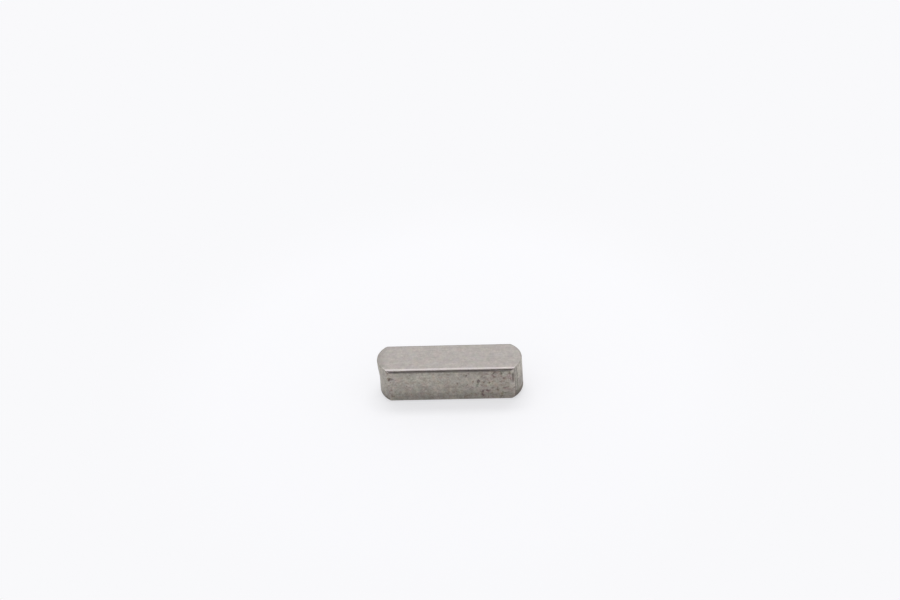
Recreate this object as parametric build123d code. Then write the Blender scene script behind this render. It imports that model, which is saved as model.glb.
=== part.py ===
"""Parallel key with bowed ends: a small steel bar that locks a hub to its shaft.

The key lies along X, with its width along Y, and stands on Z = 0 about the origin.
It is one piece, made in the order that the real one is: a square bar is drawn with its
four long edges rounded, then each end is milled to an arc in plan, and the sharp edge
that the mill leaves round each end is eased.
All sizes are in millimetres.
"""

import os
from math import copysign

from build123d import *

# The drawn bar
key_width = 5.0  # across the flanks, which the two keyways grip
key_height = 5.0  # from the underside to the top face
long_edge_radius = 0.4  # the rounding of the four long edges, left by the drawing die

# The milled ends
key_length = 18.0  # from the tip of one end to the tip of the other
end_crown = 1.34  # how far an end's arc bows out past the two corners it starts from
end_edge_radius = 0.2  # the easing of the edge round each end, less than the die's rounding


def drawn_bar():
    """The bar, as long as the finished key, before its ends are milled."""
    across = Plane.YZ * Pos(0, key_height / 2)
    section = RectangleRounded(key_width, key_height, radius=long_edge_radius)
    return extrude(across * section, amount=key_length / 2, both=True)


def end_arc(tip_x):
    """Plan of one end: an arc from the front flank to the back one, through its tip."""
    corner_x = tip_x - copysign(end_crown, tip_x)
    return ThreePointArc((corner_x, -key_width / 2), (tip_x, 0), (corner_x, key_width / 2))


def milled_plan():
    """What the mill leaves, seen from above: two straight flanks between two bowed ends."""
    with BuildSketch() as plan:
        with BuildLine():
            left = end_arc(-key_length / 2)
            right = end_arc(key_length / 2)
            Line(left @ 0, right @ 0)
            Line(left @ 1, right @ 1)
        make_face()
    return plan.sketch


def parallel_key():
    """The bar with its ends milled and the edge round each end eased."""
    key = drawn_bar() & extrude(milled_plan(), amount=key_height)
    left_end, *between, right_end = key.faces().sort_by(Axis.X)
    return fillet(left_end.edges() + right_end.edges(), radius=end_edge_radius)


os.makedirs("parts", exist_ok=True)
export_step(parallel_key(), "parts/parallel_key.step")
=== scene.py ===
"""A worn steel parallel key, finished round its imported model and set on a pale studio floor.

The key's surface is modelled in millimetres, one Blender unit to the millimetre, because its
voxels are smaller than Blender allows in metres. It is brought down to metres once its shape
is done, and everything else in the scene is in metres from the start.
"""

from math import asin, atan, cos, pi, radians, sin, tan

import bmesh
import bpy
from bpy.props import FloatProperty, FloatVectorProperty, IntProperty, PointerProperty
from mathutils import Matrix, Vector


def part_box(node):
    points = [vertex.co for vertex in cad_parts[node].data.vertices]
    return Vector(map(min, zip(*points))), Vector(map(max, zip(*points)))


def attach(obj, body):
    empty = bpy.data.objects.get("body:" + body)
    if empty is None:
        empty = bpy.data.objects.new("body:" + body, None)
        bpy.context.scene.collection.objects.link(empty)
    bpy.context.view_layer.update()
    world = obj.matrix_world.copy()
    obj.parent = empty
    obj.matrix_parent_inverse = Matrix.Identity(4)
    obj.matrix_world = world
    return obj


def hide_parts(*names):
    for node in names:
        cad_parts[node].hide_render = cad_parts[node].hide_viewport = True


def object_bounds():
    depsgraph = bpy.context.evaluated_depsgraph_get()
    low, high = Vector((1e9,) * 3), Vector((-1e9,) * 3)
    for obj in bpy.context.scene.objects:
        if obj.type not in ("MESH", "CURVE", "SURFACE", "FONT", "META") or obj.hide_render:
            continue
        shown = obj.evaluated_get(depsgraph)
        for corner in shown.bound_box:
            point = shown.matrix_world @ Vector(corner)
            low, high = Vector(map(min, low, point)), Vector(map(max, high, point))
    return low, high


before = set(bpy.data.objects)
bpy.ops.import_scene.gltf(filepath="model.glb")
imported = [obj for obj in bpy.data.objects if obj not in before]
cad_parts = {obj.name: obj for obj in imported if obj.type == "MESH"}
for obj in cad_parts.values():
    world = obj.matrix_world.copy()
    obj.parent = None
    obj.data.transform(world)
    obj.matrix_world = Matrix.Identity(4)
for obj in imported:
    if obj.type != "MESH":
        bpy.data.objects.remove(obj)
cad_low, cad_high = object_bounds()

bl_info = {
    "name": "Worn Parallel Key",
    "version": (1, 0, 0),
    "blender": (4, 5, 0),
    "location": "3D View > Sidebar > Key",
    "description": "Models a worn steel parallel key with its pits and rust, and its studio",
    "category": "Add Mesh",
}

KEY_NODE = "parallel_key"
MILLIMETRE = 0.001  # metres
PER_METRE = 1 / MILLIMETRE
MERGE_DISTANCE = 1e-5  # millimetres between vertices that are one
TOUCHING = 1e-4  # millimetres between an edge and the corner of the bar that it lies on

# The named attributes that the worn surface hands to its material
BLANK_NORMAL = "blank_normal"  # which way the surface faced before it was worn
PIT = "pit"  # 0 on sound metal, 1 at the bottom of a pit


# ------------------------------------------------------------------ settings


def length(name, description, default):
    """A setting that is a length, kept in metres."""
    return FloatProperty(
        name=name, description=description, default=default, min=0, unit="LENGTH", precision=6
    )


def offset(name, description, default):
    """A setting that is a distance to either side, kept in metres."""
    return FloatProperty(
        name=name, description=description, default=default, unit="LENGTH", precision=6
    )


def count(name, description, default, least=1):
    """A setting that is a whole number."""
    return IntProperty(name=name, description=description, default=default, min=least)


def share(name, description, default):
    """A setting that runs from nothing to all."""
    return FloatProperty(
        name=name, description=description, default=default, min=0, max=1, subtype="FACTOR"
    )


def colour(name, description, default):
    """A colour setting."""
    return FloatVectorProperty(
        name=name, description=description, default=default, size=3, min=0, max=1, subtype="COLOR"
    )


def angle(name, description, degrees):
    """A setting that is an angle. Its default is given in degrees."""
    return FloatProperty(
        name=name, description=description, default=radians(degrees), subtype="ANGLE"
    )


def pattern(name, description, default):
    """A setting that moves a pattern over the key, in millimetres."""
    return FloatVectorProperty(
        name=name, description=description, default=default, size=3, subtype="XYZ"
    )


class KeyShape(bpy.types.PropertyGroup):
    """Sizes of the key that its outer box doesn't give."""

    end_crown: length("End crown", "How far an end bows out past its corners", 0.00134)
    edge_radius: length("Edge radius", "Rounding of the four long edges", 0.0004)
    left_skew: length("Left skew", "How far the left end is milled to the back", 0.00002)
    right_skew: length("Right skew", "How far the right end is milled to the front", 0.00021)
    left_lean: angle("Left lean", "How far the left end leans out towards the top", 2.25)
    corner_facet: length("Corner facet", "Width of the facet on an upright corner", 0.00036)
    rim_radius: length("Rim radius", "Rounding where an end meets the top", 0.0002)
    left_foot_radius: length("Left foot radius", "Rounding under the left end", 0.00042)
    right_foot_radius: length("Right foot radius", "Rounding under the right end", 0.0007)
    mill_cuts: count("Mill cuts", "Straight cuts that make up the bow of an end", 35, least=2)
    dressing_cuts: count("Dressing cuts", "Straight cuts up the rounding of an end's edge", 4)
    eased_edges: count("Eased edges", "Rounds of smoothing over the whole surface", 3)
    round_steps: count("Rounding steps", "Segments across an edge rounding", 12)
    edge_fullness: FloatProperty(
        name="Edge fullness", description="Of the worn front edge: 0.5 is a full round",
        default=0.4, min=0.25, max=0.5,
    )
    grain: length("Surface grain", "Size of the voxels that the worn surface is made of", 6.6e-5)


class KeyWear(bpy.types.PropertyGroup):
    """How deep the wear goes and where it lies."""

    pit_depth: length("Pit depth", "Depth of the deepest rust pits", 4e-5)
    wave_depth: length("Wave depth", "Slow unevenness of the drawn faces", 8e-6)
    knock_depth: length("Knock depth", "Depth of the knocks along the edges", 6e-6)
    tool_mark_depth: length("Tool mark depth", "Depth of the upright marks on the ends", 9e-6)
    hollow_depth: length("Hollow depth", "Depth of the hollow in the left end", 9.5e-5)
    hollow_reach: length("Hollow reach", "How far the hollow runs from its middle", 0.0021)
    speck_spacing: length("Speck spacing", "Between the places where a rust speck may lie", 0.00022)
    speck_width: length("Speck width", "Width of the widest rust specks", 0.00026)
    rust_pattern: pattern("Rust pattern", "Moves the rust blots", (9.69, -9.9, 2.76))


class KeyFinish(bpy.types.PropertyGroup):
    """Colours of the steel and of what has grown on it."""

    ground_steel: colour("Ground steel", "The clean faces", (0.521, 0.484, 0.451))
    dull_steel: colour("Dull steel", "The flanks and ends", (0.418, 0.393, 0.35))
    # Rubbed steel, bright enough to paint the front top edge's highlight
    rubbed_steel_and_highlight: colour("Rubbed steel", "The edges", (0.76, 0.705, 0.68))
    brown_film: colour("Brown film", "Thin film of rust on the dull faces", (0.4, 0.3, 0.24))
    # Pit brown and rust brown also colour the painted shade at the foot of the ends
    pit_brown: colour("Pit brown", "The bottoms of the pits", (0.09, 0.07, 0.06))
    rust_brown: colour("Rust brown", "The stain round the pits", (0.16, 0.115, 0.09))
    tint_strength: share("Tint strength", "How far the steel's colour wanders", 0.12)
    cloud_pattern: pattern("Cloud pattern", "Moves the clouding", (-23.56, 35.03, 13.65))
    ground_roughness: share("Ground roughness", "Roughness of the clean faces", 0.42)
    dull_roughness: share("Dull roughness", "Roughness of the flanks and ends", 0.5)
    rubbed_roughness: share("Rubbed roughness", "Roughness of the edges", 0.3)


class Studio(bpy.types.PropertyGroup):
    """The floor, the light and the camera."""

    floor_colour: colour("Floor colour", "Pale paper under the key", (0.93, 0.93, 0.945))
    fibre_colour: colour("Fibre colour", "Faint fibres in the paper", (0.8, 0.8, 0.8))
    floor_radius: length("Floor radius", "From the key to the edge of the floor", 1.5)
    fade_start: length("Fade start", "From the key to where the paper starts to fade", 0.01)
    fade_end: length("Fade end", "From the key to where it has become the backdrop", 0.045)
    floor_lightness: share("Floor lightness", "How much the shadow on the floor is lifted", 0.58)
    backdrop_colour: colour("Backdrop colour", "What lies beyond the floor", (0.947, 0.947, 0.965))
    card_colour: colour("Card colour", "Dark cards that the steel reflects", (0.07, 0.058, 0.047))
    sky_strength: FloatProperty(
        name="Sky strength", description="Soft light from all round", default=0.83, min=0
    )
    lamp_power: FloatProperty(
        name="Lamp power", description="Power of the soft lamp", default=0.8, min=0, unit="POWER"
    )
    lamp_width: length("Lamp width", "Width of the soft lamp, along the key", 0.35)
    lamp_depth: length("Lamp depth", "Depth of the soft lamp, across the key", 0.13)
    lamp_distance: length("Lamp distance", "From the key to the lamp", 0.5)
    lamp_elevation: angle("Lamp elevation", "Height of the lamp's beam", 65)
    camera_elevation: angle("Camera elevation", "How far down the camera looks", 38.54)
    camera_azimuth: angle("Camera azimuth", "How far round to the right the camera stands", 4.43)
    camera_roll: angle("Camera roll", "Tilt of the camera about its own axis", -4.07)
    camera_distance: length("Camera distance", "From the camera to what it aims at", 0.36785)
    camera_lens: FloatProperty(
        name="Camera lens", description="Focal length on a 36 mm sensor", default=117.92,
        unit="CAMERA",
    )
    aim_across: offset("Aim across", "Aim to the right of the key's foot", -0.000176)
    aim_up: offset("Aim up", "Aim above the key's foot, as the camera sees it", 0.010927)


# ------------------------------------------------------------- node building


class Wiring:
    """Adds nodes to a tree, each with what feeds it, and hands back output sockets."""

    def __init__(self, tree):
        self.tree = tree

    def node(self, kind, inputs=None, **settings):
        """One node. inputs gives a value or another node's output for its input sockets."""
        made = self.tree.nodes.new(kind)
        for name, value in settings.items():
            setattr(made, name, value)
        for name, value in (inputs or {}).items():
            self.feed(made.inputs[name], value)
        return made

    def feed(self, socket, value):
        """A link from an output socket, or a plain value."""
        if isinstance(value, bpy.types.NodeSocket):
            self.tree.links.new(value, socket)
        else:
            socket.default_value = value

    def math(self, operation, first, *others):
        """The operation on the first value and each of the others in turn."""
        for other in others or (0.0,):
            made = self.node("ShaderNodeMath", {0: first, 1: other}, operation=operation)
            first = made.outputs[0]
        return first

    def add(self, *values):
        return self.math("ADD", *values)

    def subtract(self, first, second):
        return self.math("SUBTRACT", first, second)

    def multiply(self, *values):
        return self.math("MULTIPLY", *values)

    def vector(self, operation, first, second=(0, 0, 0)):
        made = self.node("ShaderNodeVectorMath", {0: first, 1: second}, operation=operation)
        return made.outputs["Value" if operation in {"LENGTH", "DISTANCE"} else "Vector"]

    def scaled(self, vector, factor):
        made = self.node("ShaderNodeVectorMath", {0: vector, "Scale": factor}, operation="SCALE")
        return made.outputs["Vector"]

    def parts(self, vector):
        """The x, y and z of a vector."""
        return self.node("ShaderNodeSeparateXYZ", {0: vector}).outputs

    def fade(self, value, start, end, low=0.0, high=1.0):
        """Runs smoothly from low to high as value goes from start to end."""
        made = self.node(
            "ShaderNodeMapRange",
            {"Value": value, "From Min": start, "From Max": end, "To Min": low, "To Max": high},
            interpolation_type="SMOOTHSTEP",
        )
        return made.outputs["Result"]

    def outside(self, mask):
        """1 where the mask is 0, and 0 where it is 1."""
        return self.fade(mask, 1, 0)

    def leaving(self, mask, share_left):
        """1 where the mask is 0, and share_left where it is 1."""
        return self.fade(mask, 0, 1, low=1.0, high=share_left)

    def noise(self, place, scale, detail=2.0, roughness=0.5):
        """Cloudy noise, mostly between 0.3 and 0.7, and after it the same kind in colours.

        scale is how many clouds there are to one unit of place.
        """
        inputs = {"Vector": place, "Scale": scale, "Detail": detail, "Roughness": roughness}
        return self.node("ShaderNodeTexNoise", inputs).outputs

    def lines(self, place, squeeze, detail=2.0):
        """Noise drawn out into lines: squeeze is its scale along each axis."""
        return self.noise(self.vector("MULTIPLY", place, squeeze), 1.0, detail)[0]

    def cells(self, place, scale):
        """Distance to the nearest of a scatter of points, and that point's own random colour."""
        made = self.node("ShaderNodeTexVoronoi", {"Vector": place, "Scale": scale})
        return made.outputs["Distance"], made.outputs["Color"]

    def mix(self, factor, first, second):
        """Two colours mixed."""
        made = self.node("ShaderNodeMix", data_type="RGBA")
        # The node's colour sockets come after those for numbers and vectors
        factor_socket, first_socket, second_socket = (made.inputs[at] for at in (0, 6, 7))
        self.feed(factor_socket, factor)
        for socket, value in ((first_socket, first), (second_socket, second)):
            is_linked = isinstance(value, bpy.types.NodeSocket)
            self.feed(socket, value if is_linked else (*value, 1))
        return made.outputs[2]


def scatter(w, place, spacing, widest, density):
    """Round spots scattered over a surface: 1 at the middle of a spot and 0 outside it.

    spacing and widest are in the units of place. density is the share of places with a spot.
    """
    distance, lot = w.cells(place, 1 / spacing)
    chance = w.parts(lot)[0]
    spare = w.math("DIVIDE", w.subtract(w.add(chance, density), 1.0), density)
    size = w.math("SQRT", w.math("MAXIMUM", spare, 1e-6))  # next to nothing where none is spare
    radius = w.multiply(size, widest / spacing / 2)
    return w.fade(w.math("DIVIDE", distance, radius), 1.15, 0.35)


# ------------------------------------------------------------ mesh by hand


def clear_selection():
    """Leaves edit mode and lets go of everything, as before any new primitive."""
    if bpy.context.mode != "OBJECT":
        bpy.ops.object.mode_set(mode="OBJECT")
    bpy.ops.object.select_all(action="DESELECT")


def pick_edges(piece, wanted):
    """Selects the edges in edit mode whose two ends pass the test together."""
    mesh = bmesh.from_edit_mesh(piece.data)
    bpy.ops.mesh.select_mode(type="EDGE")
    for edge in mesh.edges:
        edge.select = wanted(*(piece.matrix_world @ vertex.co for vertex in edge.verts))
    mesh.select_flush_mode()
    bmesh.update_edit_mesh(piece.data)


def cut_away(point, outwards):
    """Bisects the whole mesh, drops what lies outwards of the point and closes the cut."""
    bpy.ops.mesh.select_all(action="SELECT")
    bpy.ops.mesh.bisect(plane_co=point, plane_no=outwards, use_fill=True, clear_outer=True)


def merge_and_face_out():
    """Merges doubled vertices, then turns every face outwards."""
    bpy.ops.mesh.select_all(action="SELECT")
    bpy.ops.mesh.remove_doubles(threshold=MERGE_DISTANCE)
    bpy.ops.mesh.normals_make_consistent(inside=False)


def apply_modifier(piece, name, kind, **settings):
    """Adds a modifier to the piece and applies it."""
    modifier = piece.modifiers.new(name, kind)
    for setting, value in settings.items():
        setattr(modifier, setting, value)
    bpy.ops.object.modifier_apply(modifier=modifier.name)


# ------------------------------------------------------------------ the key


def model_blank(shape):
    """The sound key, in millimetres: a drawn bar with its ends milled and its corners filed.

    The bar's four long edges are rounded before the ends are milled, so the roundings run
    straight out through the ends.
    """
    low, high = (Vector(corner) * PER_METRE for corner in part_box(KEY_NODE))
    key_length, key_width, key_height = high - low
    clear_selection()
    bpy.ops.mesh.primitive_cube_add(size=1, location=(low + high) / 2, enter_editmode=True)
    key = bpy.context.object
    bpy.ops.transform.resize(value=(key_length + key_width, key_width, key_height))
    round_long_edges(key, low, high, shape)

    crown = shape.end_crown * PER_METRE
    radius = ((key_width / 2) ** 2 + crown**2) / (2 * crown)
    for side, skew in ((-1, shape.left_skew), (1, -shape.right_skew)):
        centre = Vector((side * (key_length / 2 - radius), skew * PER_METRE, high.z))
        front = asin((low.y - centre.y) / radius)
        back = asin((high.y - centre.y) / radius)
        mill_end(side, centre, radius, front, back, shape)
    merge_and_face_out()
    bpy.ops.object.mode_set(mode="OBJECT")
    bpy.ops.object.transform_apply(location=True, rotation=True, scale=True)
    return key


def round_long_edges(key, low, high, shape):
    """Rounds the bar's four long edges. The front top one is worn a little flatter."""
    middle, reach = (low + high) / 2, (high - low) / 2

    def is_sharp(first, second):
        """Whether it's a long edge that still stands at a corner of the bar."""
        across = abs(abs(first.y - middle.y) - reach.y) + abs(abs(first.z - middle.z) - reach.z)
        return abs(first.x - second.x) > 2 * reach.x and across < TOUCHING

    def is_sharp_front_top(first, second):
        return is_sharp(first, second) and first.y < middle.y and first.z > middle.z

    for is_wanted, fullness in ((is_sharp_front_top, shape.edge_fullness), (is_sharp, 0.5)):
        pick_edges(key, is_wanted)
        bpy.ops.mesh.bevel(
            offset=shape.edge_radius * PER_METRE,
            segments=shape.round_steps,
            profile=fullness,
            affect="EDGES",
        )


def mill_end(side, centre, radius, front, back, shape):
    """Mills one end to an arc between two angles from the X axis, then dresses its edges.

    The arc's centre is given at the top of the key.
    """
    lean, foot = 0.0, shape.right_foot_radius * PER_METRE
    if side < 0:
        lean, foot = shape.left_lean, shape.left_foot_radius * PER_METRE
    rim = shape.rim_radius * PER_METRE

    def cut_at(heading, depth, tilt=0.0, drop=0.0):
        """A flat cut that faces heading round and tilt down, depth out from the centre."""
        level = Vector((side * cos(heading), sin(heading), 0))
        down = Vector((0, 0, -1))
        cut_away(centre + level * depth + down * drop, level * cos(tilt) + down * sin(tilt))

    cuts = shape.mill_cuts
    facings = [front + (back - front) * cut / (cuts - 1) for cut in range(cuts)]
    for facing in facings:
        cut_at(facing, radius, atan(cos(facing) * tan(lean)))

    # The facets filed on the two upright corners
    for corner, across in ((front, -1), (back, 1)):
        bend = pi / 2 - abs(corner)
        filed = shape.corner_facet * PER_METRE / 2 * tan(bend / 2)
        cut_at(corner + across * bend / 2, radius * cos(bend / 2) - filed)

    # The roundings along the top and the foot, each about an arc that lies inside the end
    for edge, drop, turn in ((rim, rim, -1), (foot, centre.z - foot, 1)):
        for step in range(1, shape.dressing_cuts + 1):
            tilt = turn * pi / 2 * step / (shape.dressing_cuts + 1)
            for facing in facings:
                inset = drop * tan(lean) * cos(facing) + edge * (1 - cos(tilt))
                cut_at(facing, radius - inset, tilt, drop + edge * sin(tilt))


# --------------------------------------------------------------------- wear


def face_masks(w, facing):
    """Which part of the key a place is on, told by the way it faces. Each runs from 0 to 1."""
    along = w.math("ABSOLUTE", facing[0])
    upright = w.math("ABSOLUTE", facing[2])
    level = w.fade(upright, 0.92, 0.98)
    between = w.subtract(w.fade(upright, 0.05, 0.5), level)
    lengthways = w.fade(along, 0.3, 0.1)
    straight = w.fade(along, 0.12, 0.04)
    wall = w.fade(upright, 0.4, 0.1)
    turned_out = w.fade(along, 0.35, 0.6)
    to_front_top = w.multiply(w.fade(facing[1], 0.1, -0.1), w.fade(facing[2], -0.1, 0.1))
    return {
        # The long faces, and the roundings between them
        "lengthways": lengthways,
        "straight": straight,
        "level": level,
        "top": w.multiply(level, w.fade(facing[2], 0, 1)),
        "flank": w.multiply(straight, wall),
        "back": w.fade(facing[1], 0.05, 0.3),
        "rounding": w.multiply(between, lengthways),
        # The front top rounding: rubbed steel, with a painted highlight in its colour
        "rubbed": w.multiply(between, w.fade(along, 0.42, 0.2), to_front_top),
        "underside": w.fade(facing[2], 0.0, -0.18),
        # The ends, from the facets at their corners to the noses at their middles
        "facet": w.multiply(w.fade(along, 0.12, 0.22), w.fade(along, 0.5, 0.4), wall),
        "end": w.multiply(turned_out, wall),
        "nose": w.multiply(w.fade(along, 0.75, 0.92), wall),
        "end_rim": w.multiply(between, w.outside(lengthways)),
        "end_foot": w.multiply(w.fade(facing[2], 0.3, 0.1), turned_out),
        # All that isn't ground bright
        "dull": w.fade(upright, 0.45, 0.1),
        "not_top": w.fade(facing[2], 0.7, 0.3),
    }


def dampness(w, at, masks, low, high):
    """Where rust has taken hold: towards the right end and at the left corners."""
    right = w.fade(at[0], high.x * -0.05, high.x * 0.6)
    left = w.fade(at[0], low.x * 0.72, low.x * 0.84, high=1.1)
    damp = w.add(right, left, 0.15)
    for mask, share_left in (("top", 0.0), ("rounding", 0.1), ("end", 0.1)):
        damp = w.multiply(damp, w.leaving(masks[mask], share_left))
    return damp


def wear_nodes(wear):
    """The wear as geometry nodes, in millimetres: it only ever takes metal away."""
    low, high = (Vector(corner) * PER_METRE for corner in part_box(KEY_NODE))
    tree = bpy.data.node_groups.new("Key wear", "GeometryNodeTree")
    for way in ("INPUT", "OUTPUT"):
        tree.interface.new_socket("Geometry", in_out=way, socket_type="NodeSocketGeometry")
    w = Wiring(tree)
    worn = w.node("NodeGroupInput").outputs[0]
    place = w.node("GeometryNodeInputPosition").outputs[0]
    normal = w.node("GeometryNodeInputNormal").outputs[0]
    masks = face_masks(w, w.parts(normal))

    # Ragged blots of rust, and fine specks half as deep, on the dull faces
    damp = dampness(w, w.parts(place), masks, low, high)
    patches = w.fade(w.noise(place, 0.5, detail=1)[0], 0.35, 0.6, low=0.5)
    damp = w.multiply(damp, patches)
    blots = w.noise(w.vector("ADD", place, wear.rust_pattern), 2.0, detail=3, roughness=0.55)[0]
    dryness = w.fade(damp, 0, 1, low=0.14, high=0)
    blots = w.fade(w.subtract(blots, dryness), 0.47, 0.69)
    spacing, widest = wear.speck_spacing * PER_METRE, wear.speck_width * PER_METRE
    specks = scatter(w, place, spacing, widest, w.add(w.multiply(damp, 0.3), 0.03))
    pits = w.multiply(w.math("MAXIMUM", blots, w.multiply(specks, 0.5)), masks["dull"])

    for name, value, kind in ((BLANK_NORMAL, normal, "FLOAT_VECTOR"), (PIT, pits, "FLOAT")):
        inputs = {"Geometry": worn, "Name": name, "Value": value}
        worn = w.node("GeometryNodeStoreNamedAttribute", inputs, data_type=kind).outputs[0]

    def depth(value, start, end, deepest):
        """A depth in millimetres that grows as value goes from start to end."""
        return w.fade(value, start, end, high=deepest * PER_METRE)

    upright_lines = w.lines(place, (4.0, 4.0, 0.12))
    hollow_middle = (low.x, low.y * 0.15, high.z * 0.45)
    hollow_reach = wear.hollow_reach * PER_METRE
    depths = (
        w.multiply(pits, wear.pit_depth * PER_METRE),
        depth(w.noise(place, 0.35, detail=3)[0], 0.3, 0.7, wear.wave_depth),
        w.multiply(depth(w.noise(place, 1.1)[0], 0.5, 0.75, wear.knock_depth), masks["rounding"]),
        w.multiply(depth(upright_lines, 0.35, 0.65, wear.tool_mark_depth), masks["end"]),
        depth(w.vector("DISTANCE", place, hollow_middle), hollow_reach, 0.0, wear.hollow_depth),
    )
    inputs = {"Geometry": worn, "Offset": w.scaled(normal, w.multiply(w.add(*depths), -1))}
    worn = w.node("GeometryNodeSetPosition", inputs).outputs[0]
    w.node("NodeGroupOutput", {0: worn})
    return tree


def wear_down(key, shape, wear):
    """Lays an even fine mesh over the blank and wears it."""
    apply_modifier(
        key, "Fine surface", "REMESH",
        mode="VOXEL", voxel_size=shape.grain * PER_METRE, use_smooth_shade=True,
    )
    apply_modifier(key, "Eased edges", "SMOOTH", factor=0.5, iterations=shape.eased_edges)
    apply_modifier(key, "Wear", "NODES", node_group=wear_nodes(wear))


def bring_to_metres(key):
    """Shrinks the finished mesh from millimetres to metres, about the frame's origin."""
    key.scale = (MILLIMETRE,) * 3
    bpy.ops.object.transform_apply(location=False, rotation=False, scale=True)


# ---------------------------------------------------------------- materials


def new_material(name):
    """An empty node material, with a Wiring for it."""
    material = bpy.data.materials.new(name)
    material.use_nodes = True
    material.node_tree.nodes.clear()
    return material, Wiring(material.node_tree)


def sound_steel(w, place, masks, finish):
    """The colour of the steel where it isn't rusted: ground faces, dull flanks, and a rubbed front
    top edge that is painted bright as a highlight.
    """
    steel = w.mix(masks["level"], finish.dull_steel, finish.ground_steel)
    # The rubbed front top edge, painted bright as a highlight
    steel = w.mix(masks["rubbed"], steel, finish.rubbed_steel_and_highlight)
    tint = w.noise(place, 2.6, detail=3, roughness=0.6)[0]
    film = w.add(w.fade(tint, 0.45, 0.7, high=0.25), w.fade(w.parts(place)[0], 2.0, 6.0, high=0.08))
    film = w.multiply(film, w.leaving(masks["end"], 0.3), masks["dull"])
    return w.mix(film, steel, finish.brown_film)


def mottling(w, place, to_right, masks):
    """How light the steel is from place to place, about 1: clouds, grain, lines and streaks."""
    clouds = w.noise(place, 1.7, detail=5, roughness=0.65)[0]
    fine = w.noise(place, 4.8, detail=4, roughness=0.65)[0]
    shade = w.multiply(
        w.fade(clouds, 0.3, 0.7, low=0.84, high=1.16), w.fade(fine, 0.25, 0.75, low=0.79, high=1.21)
    )
    contrast = 1.0
    for mask, share_left in (("level", 0.5), ("rubbed", 0.2), ("back", 0.5)):
        contrast = w.multiply(w.leaving(masks[mask], share_left), contrast)
    shade = w.add(w.multiply(w.subtract(shade, 1.0), contrast), 1.0)
    drawn = w.lines(place, (0.12, 5.0, 5.0), detail=3)
    scratches = w.lines(place, (0.8, 22.0, 22.0))
    streaks = w.lines(place, (6.5, 6.5, 0.3), detail=3)
    for lines, strength in (
        (drawn, w.fade(masks["end"], 0, 1, low=0.2, high=0.0)),
        (scratches, w.fade(masks["end"], 0, 1, low=0.35, high=0.0)),
        (streaks, w.multiply(masks["end"], w.fade(to_right, 0, 1, low=0.9, high=1.8))),
    ):
        shade = w.add(shade, w.multiply(w.subtract(lines, 0.5), strength))
    return shade, fine, w.add(drawn, scratches)


def painted_light_and_shade(w, at, to_right, masks):
    """Painted light and shade on the steel from part to part:
    shares under 1 darken it, and those over 1 pale it.

    The darkening towards the floor, the flanks just below the front edge, the front right facet,
    the ends, their rims and the left tip of the top are painted shade. The dark line under the
    front edge, the pale strip at the front right corner, the pale nose and the pale lower roundings
    are painted reflections, standing in for those that this studio lacks.
    """
    left_tip, right_tip = cad_low.x * PER_METRE, cad_high.x * PER_METRE
    down = w.subtract(cad_high.z * PER_METRE, at[2])
    front = w.outside(masks["back"])
    front_right = w.multiply(front, to_right)
    to_left = w.outside(to_right)

    def band(start, full, still_full, end):
        """1 between two depths below the top of the key, fading out above and below them."""
        return w.multiply(w.fade(down, start, full), w.fade(down, end, still_full))

    light = 1.0
    for where, share_left in (
        # Painted shade towards the floor, and a painted reflection
        # paling the roundings under the flanks
        ((w.fade(at[2], 2.4, 0.3), masks["not_top"]), 0.89),
        ((masks["underside"], masks["lengthways"]), 1.15),
        # The dark line under the front edge, a painted reflection,
        # and painted shade on the flanks just below it
        ((band(0.19, 0.27, 0.46, 0.51), masks["straight"], front), 0.5),
        ((band(0.48, 0.55, 0.6, 1.2), masks["lengthways"]), 0.94),
        # Front right corner: painted shade on the facet and a painted highlight on the flank by it
        ((masks["facet"], front_right, band(0.45, 1.1, 1.4, 2.7)), 0.5),
        (
            (
                w.fade(at[0], right_tip - 1.42, right_tip - 1.32), masks["flank"],
                front_right, w.fade(down, 2.4, 1.6),
            ),
            1.3,
        ),
        # Painted shade on the ends and their rims, and a painted highlight
        # on the right end's nose, paler towards the top
        ((masks["end"], to_right), 0.76),
        ((masks["end"], to_left), 0.93),
        ((masks["nose"], to_right, w.fade(down, 3.5, 0.2)), 1.38),
        ((masks["end_rim"], to_left), 0.92),
        ((masks["end_rim"], masks["back"]), 0.88),
        # Painted shade on the left tip of the top
        ((masks["top"], w.fade(at[0], left_tip + 1.6, left_tip + 0.2)), 0.84),
    ):
        light = w.multiply(w.leaving(w.multiply(*where), share_left), light)
    return light


def painted_foot_shade(w, height, to_right, fine, masks):
    """Painted shade round the foot of an end, laid on as a dark stain. It reaches higher up the
    right one.
    """
    reach = w.fade(to_right, 0, 1, low=0.55, high=1.25)
    ragged_height = w.add(w.math("DIVIDE", height, reach), w.subtract(fine, 0.5))
    return w.multiply(w.fade(ragged_height, 1.15, 0.55), masks["end_foot"])


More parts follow.
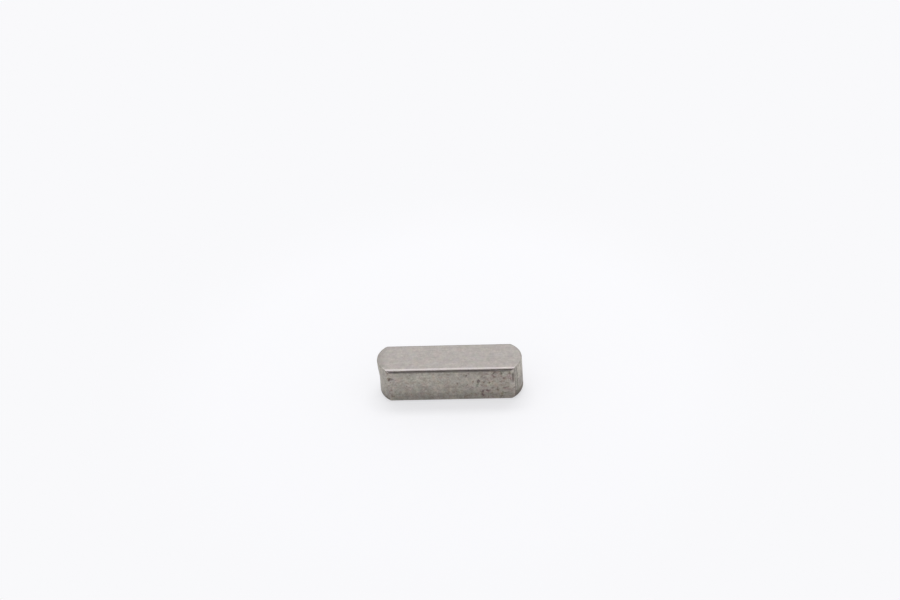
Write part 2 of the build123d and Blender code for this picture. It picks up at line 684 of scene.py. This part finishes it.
def worn_steel(finish):
    """The key's bare steel with its mottling, pits and rust, and painted light and shade."""
    material, w = new_material("worn steel")
    place = w.scaled(w.node("ShaderNodeTexCoord").outputs["Object"], PER_METRE)
    facing = w.parts(w.node("ShaderNodeAttribute", attribute_name=BLANK_NORMAL).outputs["Vector"])
    pit = w.node("ShaderNodeAttribute", attribute_name=PIT).outputs["Fac"]
    masks = face_masks(w, facing)

    at = w.parts(place)
    to_right = w.fade(at[0], -1.0, 6.0)  # from just left of the middle to the right end
    clouded = w.vector("ADD", place, finish.cloud_pattern)
    shade, fine, drawn = mottling(w, clouded, to_right, masks)
    # Painted light and shade from part to part, laid over the mottling
    shade = w.multiply(shade, painted_light_and_shade(w, at, to_right, masks))
    steel = w.scaled(sound_steel(w, place, masks, finish), shade)

    # A rust stain round each pit, and painted shade along the foot laid on as the same stain,
    # darkest at their middles
    ragged_pit = w.add(pit, w.multiply(w.subtract(fine, 0.5), 0.4))
    foot = painted_foot_shade(w, at[2], to_right, fine, masks)
    stain = w.math("MAXIMUM", w.fade(ragged_pit, 0.1, 0.6), foot)
    deep = w.math("MAXIMUM", w.fade(ragged_pit, 0.5, 1.0), w.multiply(foot, 0.6))
    steel = w.mix(w.multiply(stain, 0.6), steel, finish.rust_brown)
    steel = w.mix(w.multiply(deep, 0.7), steel, finish.pit_brown)

    # Oil and rust tints, green here and pink there, stronger on the rust and the painted foot shade
    tints = w.vector("SUBTRACT", w.noise(place, 1.3, detail=2)[1], (0.5, 0.5, 0.5))
    tints = w.scaled(tints, w.fade(stain, 0, 1, low=finish.tint_strength, high=0.5))
    steel = w.vector("MULTIPLY", steel, w.vector("ADD", tints, (1, 1, 1)))

    # Dull on the rust and on the painted shade at the foot,
    # smoother where it is ground, smoothest where it is rubbed
    dull, ground, rubbed = (
        finish.dull_roughness, finish.ground_roughness, finish.rubbed_roughness,
    )
    roughness = w.add(
        w.fade(masks["level"], 0, 1, low=dull, high=ground),
        w.multiply(masks["rubbed"], rubbed - dull),
        w.multiply(w.subtract(fine, 0.5), 0.15),
        w.multiply(stain, 0.3),
    )

    grain = w.noise(place, 14.0, detail=4, roughness=0.7)[0]
    grain = w.multiply(grain, w.leaving(masks["level"], 0.45), w.leaving(masks["rounding"], 0.3))
    height = w.add(grain, w.multiply(drawn, 0.4))
    bump = w.node("ShaderNodeBump", {"Height": height, "Strength": 0.35, "Distance": 1e-5})
    inputs = {
        "Base Color": steel,
        "Metallic": w.leaving(stain, 0.15),
        "Roughness": roughness,
        "Normal": bump.outputs[0],
    }
    surface = w.node("ShaderNodeBsdfPrincipled", inputs)
    w.node("ShaderNodeOutputMaterial", {"Surface": surface.outputs[0]})
    return material


# -------------------------------------------------------------------- stage


def view_axes(studio):
    """The camera's right, up and backward directions."""
    elevation, azimuth = studio.camera_elevation, studio.camera_azimuth
    back = Vector((sin(azimuth) * cos(elevation), -cos(azimuth) * cos(elevation), sin(elevation)))
    level_right = Vector((cos(azimuth), sin(azimuth), 0))
    right = Matrix.Rotation(studio.camera_roll, 3, back) @ level_right
    return right, back.cross(right), back


def add_camera(studio):
    """The camera, looking down at the key from the front."""
    right, up, back = view_axes(studio)
    data = bpy.data.cameras.new("Camera")
    data.sensor_width = 36.0
    data.lens = studio.camera_lens
    data.clip_start = 0.01
    camera = bpy.data.objects.new("Camera", data)
    aim = right * studio.aim_across + up * studio.aim_up
    placed = Matrix((right, up, back)).transposed().to_4x4()
    placed.translation = aim + back * studio.camera_distance
    camera.matrix_world = placed
    bpy.context.scene.collection.objects.link(camera)
    bpy.context.scene.camera = camera


def add_soft_lamp(studio):
    """A long soft lamp above and behind the key, whose glare is kept out of the steel."""
    data = bpy.data.lights.new("Soft lamp", "AREA")
    data.shape = "RECTANGLE"
    data.energy = studio.lamp_power
    data.size = studio.lamp_width
    data.size_y = studio.lamp_depth
    lamp = bpy.data.objects.new("Soft lamp", data)
    beam = Vector((0, cos(studio.lamp_elevation), sin(studio.lamp_elevation)))
    lamp.location = beam * studio.lamp_distance
    lamp.rotation_euler = beam.to_track_quat("Z", "Y").to_euler()
    lamp.visible_glossy = False
    bpy.context.scene.collection.objects.link(lamp)


def sees_backdrop(w):
    """1 for the rays that see the backdrop's own colour: the camera's and the reflections'."""
    rays = w.node("ShaderNodeLightPath").outputs
    kinds = ("Is Camera Ray", "Is Glossy Ray", "Is Transmission Ray")
    return w.math("MAXIMUM", *(rays[kind] for kind in kinds))


def add_sky(studio):
    """Soft light from all round. The camera, and the steel's reflections, see the backdrop."""
    world = bpy.data.worlds.new("Sky")
    world.use_nodes = True
    world.node_tree.nodes.clear()
    w = Wiring(world.node_tree)
    strength = w.fade(sees_backdrop(w), 0, 1, low=studio.sky_strength, high=1.0)
    inputs = {"Color": (*studio.backdrop_colour, 1), "Strength": strength}
    sky = w.node("ShaderNodeBackground", inputs)
    w.node("ShaderNodeOutputWorld", {"Surface": sky.outputs[0]})
    bpy.context.scene.world = world


def floor_material(studio):
    """Pale paper that runs out into the backdrop's own colour."""
    material, w = new_material("floor paper")
    place = w.node("ShaderNodeTexCoord").outputs["Object"]
    far = w.fade(w.vector("LENGTH", place), studio.fade_start, studio.fade_end)
    camera = w.node("ShaderNodeLightPath").outputs["Is Camera Ray"]
    lift = w.multiply(camera, studio.floor_lightness)
    share_beyond = w.math("MAXIMUM", w.multiply(far, sees_backdrop(w)), lift)
    fibres = w.fade(w.noise(place, 900.0, detail=3)[0], 0.3, 0.7, high=0.02)
    paper = w.mix(fibres, studio.floor_colour, studio.fibre_colour)
    inputs = {"Base Color": paper, "Roughness": 0.9, "Specular IOR Level": 0.0}
    lit = w.node("ShaderNodeBsdfPrincipled", inputs)
    beyond = w.node("ShaderNodeEmission", {"Color": (*studio.backdrop_colour, 1)})
    inputs = {0: share_beyond, 1: lit.outputs[0], 2: beyond.outputs[0]}
    mixed = w.node("ShaderNodeMixShader", inputs)
    w.node("ShaderNodeOutputMaterial", {"Surface": mixed.outputs[0]})
    return material


def add_floor(studio):
    """A wide flat floor at the foot of the key."""
    clear_selection()
    bpy.ops.mesh.primitive_circle_add(
        vertices=96, radius=studio.floor_radius, fill_type="NGON", location=(0, 0, cad_low.z)
    )
    floor = bpy.context.object
    floor.name = "floor"
    floor.data.materials.append(floor_material(studio))


def card_material(studio):
    """Dull dark cloth."""
    material, w = new_material("dark card")
    inputs = {"Base Color": (*studio.card_colour, 1), "Roughness": 1}
    cloth = w.node("ShaderNodeBsdfPrincipled", inputs)
    w.node("ShaderNodeOutputMaterial", {"Surface": cloth.outputs[0]})
    return material


def add_dark_card(name, material, distance, width, height):
    """An upright dark card at a distance from the key along Y, seen only in the steel."""
    clear_selection()
    middle = Vector((0, distance, height / 2))
    bpy.ops.mesh.primitive_plane_add(size=1, location=middle, enter_editmode=True)
    bpy.ops.transform.resize(value=(width, height, 1))
    bpy.ops.transform.rotate(value=radians(90), orient_axis="X", center_override=middle)
    bpy.ops.object.mode_set(mode="OBJECT")
    card = bpy.context.object
    card.name = name
    card.data.materials.append(material)
    card.visible_camera = False
    card.visible_diffuse = False
    card.visible_shadow = False


# ---------------------------------------------------------------- operators


class MESH_OT_worn_parallel_key(bpy.types.Operator):
    """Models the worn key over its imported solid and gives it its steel"""

    bl_idname = "mesh.worn_parallel_key"
    bl_label = "Worn Parallel Key"
    bl_options = {"REGISTER", "UNDO"}

    def execute(self, context):
        scene = context.scene
        key = model_blank(scene.key_shape)
        wear_down(key, scene.key_shape, scene.key_wear)
        bring_to_metres(key)
        key.name = "worn_parallel_key"
        key.data.materials.clear()
        key.data.materials.append(worn_steel(scene.key_finish))
        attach(key, "root")
        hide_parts(KEY_NODE)
        return {"FINISHED"}


class SCENE_OT_key_studio(bpy.types.Operator):
    """Sets up the pale floor, the soft light and the camera"""

    bl_idname = "scene.key_studio"
    bl_label = "Key Studio"
    bl_options = {"REGISTER", "UNDO"}

    def execute(self, context):
        studio = context.scene.key_studio
        add_floor(studio)
        cloth = card_material(studio)
        add_dark_card("front_card", cloth, distance=-0.2, width=0.3, height=0.256)
        add_dark_card("back_card", cloth, distance=0.25, width=0.4, height=0.08)
        add_soft_lamp(studio)
        add_sky(studio)
        add_camera(studio)
        context.scene.view_settings.view_transform = "Standard"
        return {"FINISHED"}


class VIEW3D_PT_parallel_key(bpy.types.Panel):
    """The key's settings and the buttons that build it"""

    bl_idname = "VIEW3D_PT_parallel_key"
    bl_label = "Parallel Key"
    bl_space_type = "VIEW_3D"
    bl_region_type = "UI"
    bl_category = "Key"

    def draw(self, context):
        for group, operator in (
            (("key_shape", "key_wear", "key_finish"), MESH_OT_worn_parallel_key),
            (("key_studio",), SCENE_OT_key_studio),
        ):
            box = self.layout.box()
            for name in group:
                settings = getattr(context.scene, name)
                for setting in settings.bl_rna.properties.keys():
                    if setting not in {"rna_type", "name"}:
                        box.prop(settings, setting)
            box.operator(operator.bl_idname)


SETTINGS = {
    "key_shape": KeyShape,
    "key_wear": KeyWear,
    "key_finish": KeyFinish,
    "key_studio": Studio,
}
CLASSES = (
    *SETTINGS.values(),
    MESH_OT_worn_parallel_key,
    SCENE_OT_key_studio,
    VIEW3D_PT_parallel_key,
)


def register():
    for cls in CLASSES:
        bpy.utils.register_class(cls)
    for name, group in SETTINGS.items():
        setattr(bpy.types.Scene, name, PointerProperty(type=group))


def unregister():
    for name in SETTINGS:
        delattr(bpy.types.Scene, name)
    for cls in reversed(CLASSES):
        bpy.utils.unregister_class(cls)


def main():
    register()
    bpy.ops.mesh.worn_parallel_key()
    bpy.ops.scene.key_studio()


if __name__ == "__main__":
    main()
